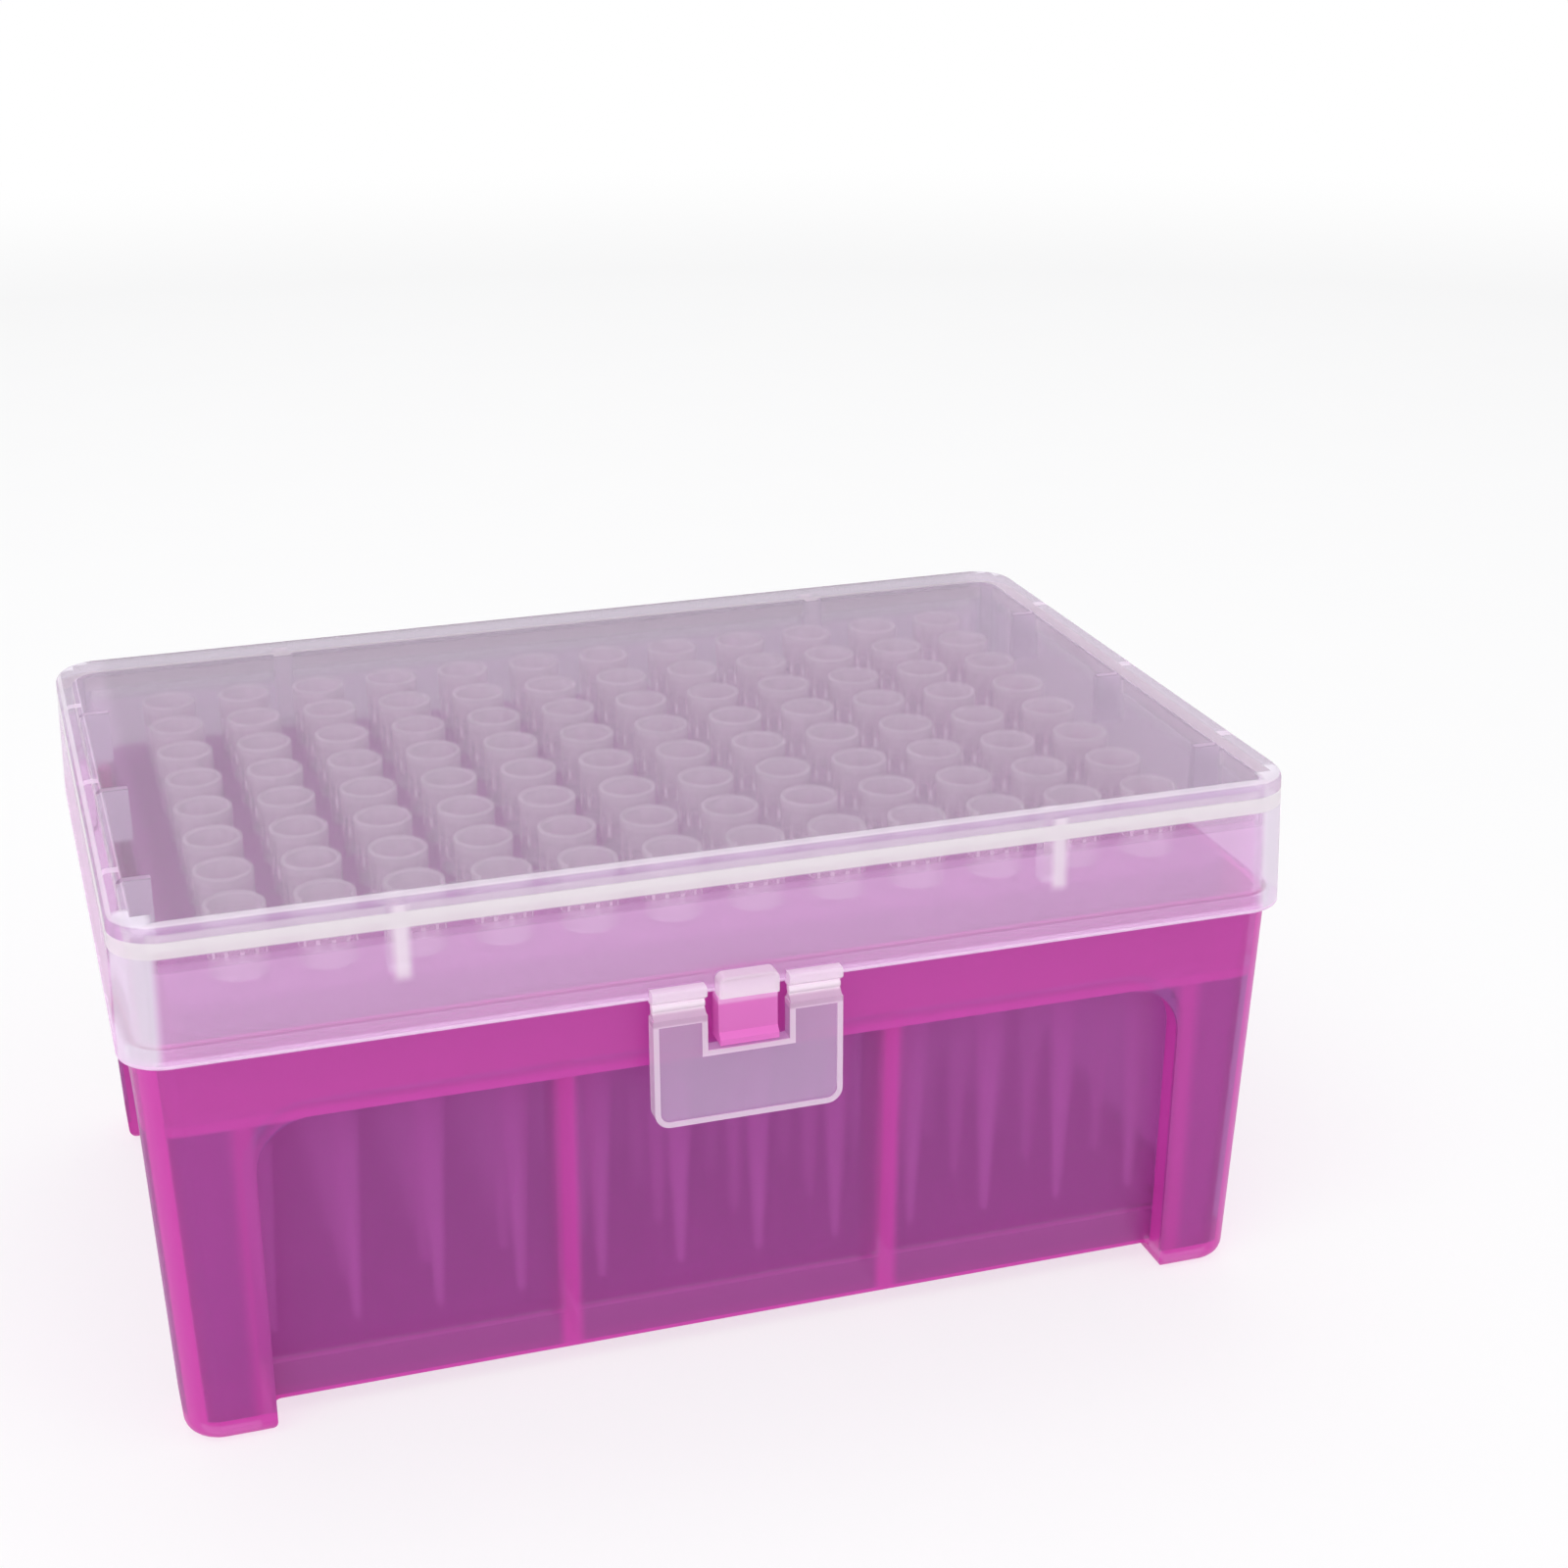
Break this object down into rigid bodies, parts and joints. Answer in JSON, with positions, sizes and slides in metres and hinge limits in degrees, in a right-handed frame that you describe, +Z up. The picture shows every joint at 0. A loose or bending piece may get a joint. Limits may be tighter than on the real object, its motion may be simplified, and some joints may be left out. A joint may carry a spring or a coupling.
{
  "type": "box of pipette tips",
  "caption": "Hinged plastic box with a clear lid, a front latch flap and a rack of filter tips standing on a magenta tray.",
  "frame": {"origin": "middle of the bounding box at the bottom of the feet", "axes": "+X along the long side, to the right seen from the latch; +Y from the latch to the hinges; +Z up"},
  "size_m": [0.125, 0.0884, 0.0606],
  "materials": {
    "tray_plastic": "translucent magenta polypropylene, satin",
    "rack_plastic": "translucent magenta polypropylene, satin",
    "lid_plastic": "milky clear polypropylene, satin",
    "tip_plastic": "natural clear polypropylene",
    "filter_fibre": "white sintered polyethylene, matt"
  },
  "bodies": {
    "base": {"base_tray": "tray_plastic", "rack_plate": "rack_plastic", "tips_column_01": "tip_plastic", "tips_column_02": "tip_plastic", "tips_column_03": "tip_plastic", "tips_column_04": "tip_plastic", "tips_column_05": "tip_plastic", "tips_column_06": "tip_plastic", "tips_column_07": "tip_plastic", "tips_column_08": "tip_plastic", "tips_column_09": "tip_plastic", "tips_column_10": "tip_plastic", "tips_column_11": "tip_plastic", "tips_column_12": "tip_plastic", "filters_column_01": "filter_fibre", "filters_column_02": "filter_fibre", "filters_column_03": "filter_fibre", "filters_column_04": "filter_fibre", "filters_column_05": "filter_fibre", "filters_column_06": "filter_fibre", "filters_column_07": "filter_fibre", "filters_column_08": "filter_fibre", "filters_column_09": "filter_fibre", "filters_column_10": "filter_fibre", "filters_column_11": "filter_fibre", "filters_column_12": "filter_fibre"},
    "lid": {"lid": "lid_plastic"},
    "latch": {"latch_tab": "lid_plastic"}
  },
  "joints": [
    {"name": "lid_hinge", "type": "hinge", "parent": "base", "child": "lid", "pos_m": [0, 0.0426, 0.043], "axis": [-1, 0, 0], "range_deg": [0, 110]},
    {"name": "latch_hinge", "type": "hinge", "parent": "lid", "child": "latch", "pos_m": [0, -0.0423, 0.04465], "axis": [-1, 0, 0], "range_deg": [0, 90]}
  ]
}
